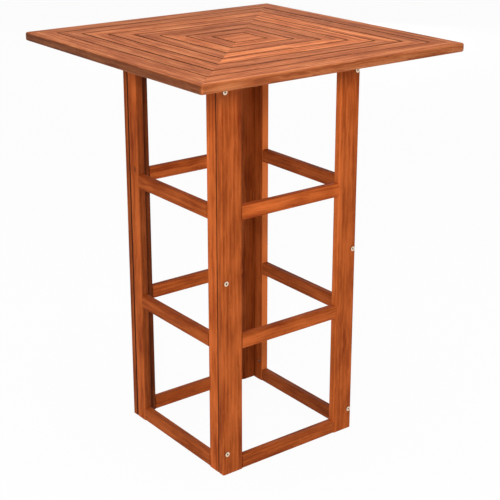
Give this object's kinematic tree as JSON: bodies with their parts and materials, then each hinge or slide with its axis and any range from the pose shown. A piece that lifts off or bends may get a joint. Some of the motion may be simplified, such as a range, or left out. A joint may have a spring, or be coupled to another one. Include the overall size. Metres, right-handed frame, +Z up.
{
  "type": "bar table",
  "caption": "Tall square bar table in oiled hardwood: open base of ladder frames bolted at the corners, top of mitred concentric slats in a mitred border.",
  "frame": {"origin": "on the floor under the middle of the table", "axes": "+Z up, +X along the front and back frames to the right, +Y from the front frame to the back frame"},
  "size_m": [0.8, 0.8, 1.086],
  "materials": {
    "frame_wood": "oiled, satin, reddish brown",
    "top_wood": "oiled, satin, lighter than the base",
    "batten_wood": "oiled, sawn and planed",
    "bolt_steel": "nickel plated",
    "zinc_steel": "zinc plated"
  },
  "bodies": {
    "root": {"angle_brackets": "zinc_steel", "back_border_board": "top_wood", "back_frame_bottom_rail": "frame_wood", "back_frame_left_stile": "frame_wood", "back_frame_lower_rail": "frame_wood", "back_frame_right_stile": "frame_wood", "back_frame_top_rail": "frame_wood", "back_frame_upper_rail": "frame_wood", "barrel_nuts": "zinc_steel", "bracket_screws": "zinc_steel", "centre_square": "top_wood", "corner_bolts": "bolt_steel", "falling_diagonal_batten": "batten_wood", "front_border_board": "top_wood", "front_frame_bottom_rail": "frame_wood", "front_frame_left_stile": "frame_wood", "front_frame_lower_rail": "frame_wood", "front_frame_right_stile": "frame_wood", "front_frame_top_rail": "frame_wood", "front_frame_upper_rail": "frame_wood", "left_border_board": "top_wood", "left_frame_back_stile": "frame_wood", "left_frame_bottom_rail": "frame_wood", "left_frame_front_stile": "frame_wood", "left_frame_lower_rail": "frame_wood", "left_frame_top_rail": "frame_wood", "left_frame_upper_rail": "frame_wood", "right_border_board": "top_wood", "right_frame_back_stile": "frame_wood", "right_frame_bottom_rail": "frame_wood", "right_frame_front_stile": "frame_wood", "right_frame_lower_rail": "frame_wood", "right_frame_top_rail": "frame_wood", "right_frame_upper_rail": "frame_wood", "ring_1_back_slat": "top_wood", "ring_1_front_slat": "top_wood", "ring_1_left_slat": "top_wood", "ring_1_right_slat": "top_wood", "ring_2_back_slat": "top_wood", "ring_2_front_slat": "top_wood", "ring_2_left_slat": "top_wood", "ring_2_right_slat": "top_wood", "ring_3_back_slat": "top_wood", "ring_3_front_slat": "top_wood", "ring_3_left_slat": "top_wood", "ring_3_right_slat": "top_wood", "ring_4_back_slat": "top_wood", "ring_4_front_slat": "top_wood", "ring_4_left_slat": "top_wood", "ring_4_right_slat": "top_wood", "ring_5_back_slat": "top_wood", "ring_5_front_slat": "top_wood", "ring_5_left_slat": "top_wood", "ring_5_right_slat": "top_wood", "ring_6_back_slat": "top_wood", "ring_6_front_slat": "top_wood", "ring_6_left_slat": "top_wood", "ring_6_right_slat": "top_wood", "rising_diagonal_batten": "batten_wood", "slat_screws": "zinc_steel"}
  },
  "joints": []
}
